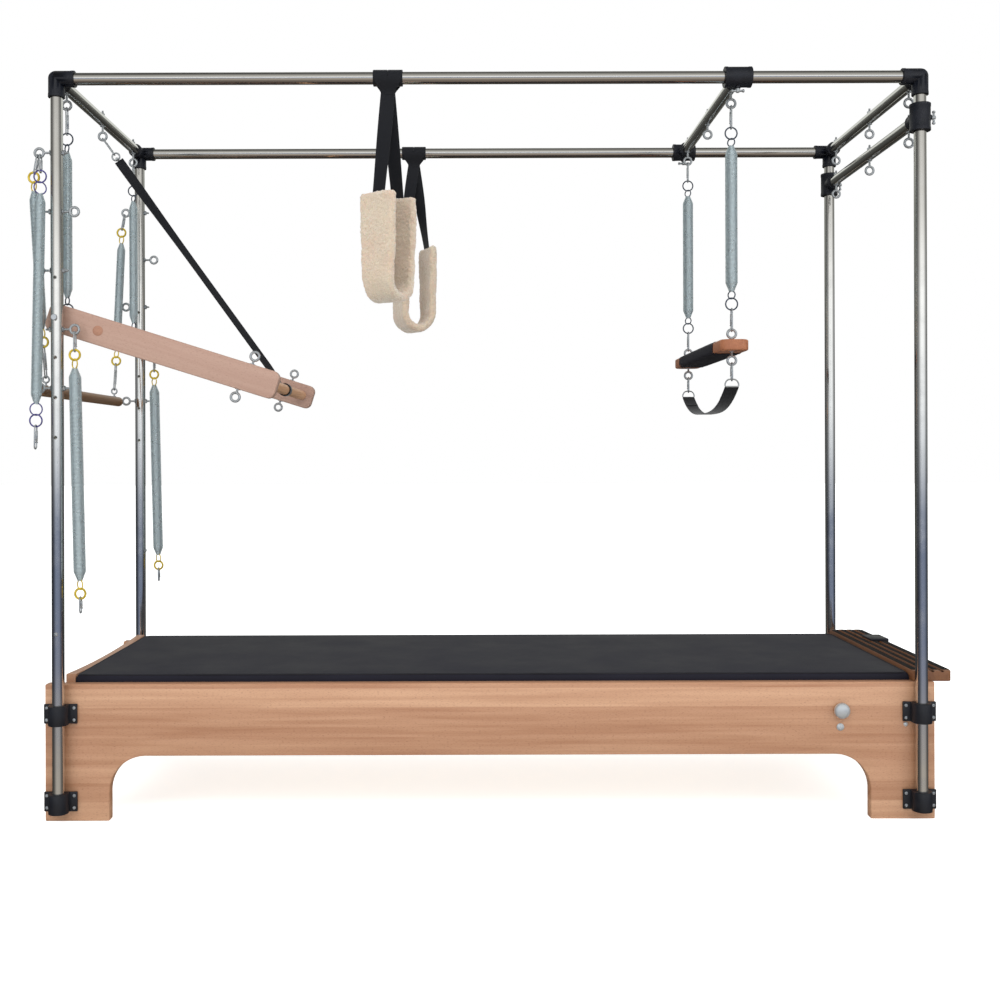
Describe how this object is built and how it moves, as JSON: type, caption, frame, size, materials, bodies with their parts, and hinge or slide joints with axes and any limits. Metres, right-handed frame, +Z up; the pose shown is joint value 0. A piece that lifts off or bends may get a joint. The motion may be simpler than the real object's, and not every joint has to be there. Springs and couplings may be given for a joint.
{
  "type": "pilates trapeze table",
  "caption": "Beech exercise bed under a tubular canopy with sliding cross bars, a push-through bar, hanging springs, a trapeze board, a roll-down bar and fleece slings.",
  "frame": {"origin": "on the floor, below the middle of the bed", "axes": "+Z up, +X along the bed towards the drop bar and the foot platform, -Y towards the side with the lock knob"},
  "size_m": [2.448, 0.8947, 1.991],
  "materials": {
    "beech": "satin lacquer",
    "board_wood": "satin lacquer",
    "tube_steel": "polished",
    "fitting_plastic": "matte",
    "zinc_steel": "zinc plated",
    "vinyl": "soft grained",
    "webbing": "woven",
    "fleece": "fluffy"
  },
  "bodies": {
    "frame": {"side_rail_near": "beech", "side_rail_far": "beech", "end_board_left": "beech", "end_board_right": "beech", "deck_panel": "beech", "mattress": "vinyl", "foot_platform": "beech", "platform_clip": "fitting_plastic", "post_left_near": "tube_steel", "post_left_far": "tube_steel", "post_right_near": "tube_steel", "post_right_far": "tube_steel", "bracket_upper_left_near": "fitting_plastic", "bracket_lower_left_near": "fitting_plastic", "bracket_upper_left_far": "fitting_plastic", "bracket_lower_left_far": "fitting_plastic", "bracket_upper_right_near": "fitting_plastic", "bracket_lower_right_near": "fitting_plastic", "bracket_upper_right_far": "fitting_plastic", "bracket_lower_right_far": "fitting_plastic", "corner_left_near": "fitting_plastic", "corner_left_far": "fitting_plastic", "corner_right_near": "fitting_plastic", "corner_right_far": "fitting_plastic", "top_tube_near": "tube_steel", "top_tube_far": "tube_steel", "end_tube_left": "tube_steel", "end_tube_right": "tube_steel", "pivot_pin_near": "zinc_steel", "pivot_pin_far": "zinc_steel"},
    "slide_bar": {"slide_tube": "tube_steel", "slide_clamp_near": "fitting_plastic", "slide_clamp_far": "fitting_plastic"},
    "slide_screw_near": {"slide_screw_near": "zinc_steel"},
    "slide_screw_far": {"slide_screw_far": "zinc_steel"},
    "drop_bar": {"drop_tube": "tube_steel", "drop_clamp_near": "fitting_plastic", "drop_clamp_far": "fitting_plastic"},
    "drop_screw_near": {"drop_screw_near": "zinc_steel"},
    "drop_screw_far": {"drop_screw_far": "zinc_steel"},
    "push_bar": {"push_arm_near": "beech", "push_arm_far": "beech", "push_crossbar": "beech"},
    "safety_strap": {"safety_strap": "webbing"},
    "push_spring_near": {"push_spring_near": "zinc_steel"},
    "push_spring_far": {"push_spring_far": "zinc_steel"},
    "leg_spring_near": {"leg_spring_near": "zinc_steel"},
    "leg_spring_far": {"leg_spring_far": "zinc_steel"},
    "arm_spring_near": {"arm_spring_near": "zinc_steel"},
    "rolldown": {"rolldown_bar": "board_wood", "rolldown_spring_near": "zinc_steel", "rolldown_spring_far": "zinc_steel"},
    "trapeze": {"trapeze_spring_near": "zinc_steel", "trapeze_spring_far": "zinc_steel"},
    "airplane": {"airplane_board": "board_wood", "board_cover": "vinyl"},
    "foot_strap": {"foot_strap": "webbing"},
    "sling_near": {"sling_near": "fleece"},
    "sling_far": {"sling_far": "fleece"},
    "lock_knob": {"lock_knob": "zinc_steel"}
  },
  "joints": [
    {"name": "slide_bar_travel", "type": "slide", "parent": "frame", "child": "slide_bar", "axis": [1, 0, 0], "range_m": [-0.7, 0.38]},
    {"name": "slide_screw_near_turn", "type": "hinge", "parent": "slide_bar", "child": "slide_screw_near", "pos_m": [0.657, -0.37, 1.93], "axis": [0, 0, 1], "continuous": true},
    {"name": "slide_screw_far_turn", "type": "hinge", "parent": "slide_bar", "child": "slide_screw_far", "pos_m": [0.657, 0.37, 1.93], "axis": [0, 0, 1], "continuous": true},
    {"name": "drop_bar_travel", "type": "slide", "parent": "frame", "child": "drop_bar", "axis": [0, 0, 1], "range_m": [-1.35, 0.015]},
    {"name": "drop_screw_near_turn", "type": "hinge", "parent": "drop_bar", "child": "drop_screw_near", "pos_m": [1.165, -0.37, 1.853], "axis": [1, 0, 0], "continuous": true},
    {"name": "drop_screw_far_turn", "type": "hinge", "parent": "drop_bar", "child": "drop_screw_far", "pos_m": [1.165, 0.37, 1.853], "axis": [1, 0, 0], "continuous": true},
    {"name": "push_bar_swing", "type": "hinge", "parent": "frame", "child": "push_bar", "pos_m": [-1.137, 0, 1.332], "axis": [0, -1, 0], "range_deg": [0, 70], "deforming": ["safety_strap"]},
    {"name": "safety_strap_swing", "type": "hinge", "parent": "frame", "child": "safety_strap", "pos_m": [-1.137, 0, 1.9083], "axis": [0, -1, 0], "range_deg": [0, 34]},
    {"name": "push_spring_near_swing", "type": "hinge", "parent": "frame", "child": "push_spring_near", "pos_m": [-1.137, -0.295, 1.9083], "axis": [0, -1, 0], "range_deg": [-3, 25]},
    {"name": "push_spring_far_swing", "type": "hinge", "parent": "frame", "child": "push_spring_far", "pos_m": [-1.137, 0.3, 1.9083], "axis": [0, -1, 0], "range_deg": [-3, 25]},
    {"name": "leg_spring_near_swing", "type": "hinge", "parent": "frame", "child": "leg_spring_near", "pos_m": [-1.091, -0.37, 1.2953], "axis": [0, -1, 0], "range_deg": [0, 25]},
    {"name": "leg_spring_far_swing", "type": "hinge", "parent": "frame", "child": "leg_spring_far", "pos_m": [-1.091, 0.37, 1.2953], "axis": [0, -1, 0], "range_deg": [0, 25]},
    {"name": "arm_spring_near_swing", "type": "hinge", "parent": "frame", "child": "arm_spring_near", "pos_m": [-1.1796, -0.37, 1.7555], "axis": [-1, 0, 0], "range_deg": [0, 40]},
    {"name": "rolldown_swing", "type": "hinge", "parent": "frame", "child": "rolldown", "pos_m": [-1.1864, 0, 1.7618], "axis": [0, 1, 0], "range_deg": [-1, 60]},
    {"name": "trapeze_swing", "type": "hinge", "parent": "slide_bar", "child": "trapeze", "pos_m": [0.657, 0, 1.9083], "axis": [0, 1, 0], "range_deg": [-30, 30]},
    {"name": "airplane_pull", "type": "slide", "parent": "trapeze", "child": "airplane", "axis": [0, 0, -1], "range_m": [0, 0.3], "stiffness_N_per_m": 300, "springref_m": -0.15, "deforming": ["trapeze_spring_near", "trapeze_spring_far"]},
    {"name": "foot_strap_swing", "type": "hinge", "parent": "airplane", "child": "foot_strap", "pos_m": [0.657, 0, 1.2144], "axis": [0, 1, 0], "range_deg": [-45, 45]},
    {"name": "sling_near_swing", "type": "hinge", "parent": "frame", "child": "sling_near", "pos_m": [-0.264, -0.37, 1.961], "axis": [1, 0, 0], "range_deg": [-30, 30]},
    {"name": "sling_far_swing", "type": "hinge", "parent": "frame", "child": "sling_far", "pos_m": [-0.232, 0.37, 1.961], "axis": [1, 0, 0], "range_deg": [-30, 30]},
    {"name": "lock_knob_pull", "type": "slide", "parent": "frame", "child": "lock_knob", "axis": [0, -1, 0], "range_m": [0, 0.01], "stiffness_N_per_m": 500, "springref_m": -0.01}
  ],
  "couplings": [
    {"joint": "safety_strap_swing", "follows": "push_bar_swing", "ratio": 0.48}
  ]
}
